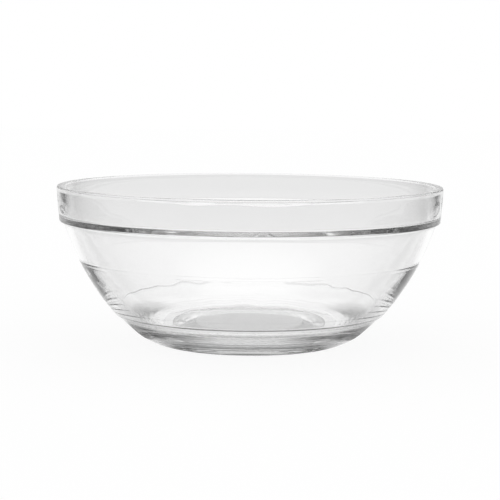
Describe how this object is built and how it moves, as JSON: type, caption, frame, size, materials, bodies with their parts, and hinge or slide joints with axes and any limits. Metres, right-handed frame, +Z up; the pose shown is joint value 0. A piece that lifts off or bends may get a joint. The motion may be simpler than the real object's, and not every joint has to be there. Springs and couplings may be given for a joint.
{
  "type": "glass mixing bowl",
  "caption": "Clear pressed-glass mixing bowl with a rounded lip, a raised stacking band with a ledge under it, a bulging wall and a hollowed foot.",
  "frame": {"origin": "centre of the foot, on the table that the bowl stands on", "axes": "+Z up along the bowl's axis of revolution, out of its mouth"},
  "size_m": [0.26, 0.26, 0.1069],
  "materials": {
    "glass": "clear, fire-polished soda-lime glass"
  },
  "bodies": {
    "root": {"bowl": "glass"}
  },
  "joints": []
}
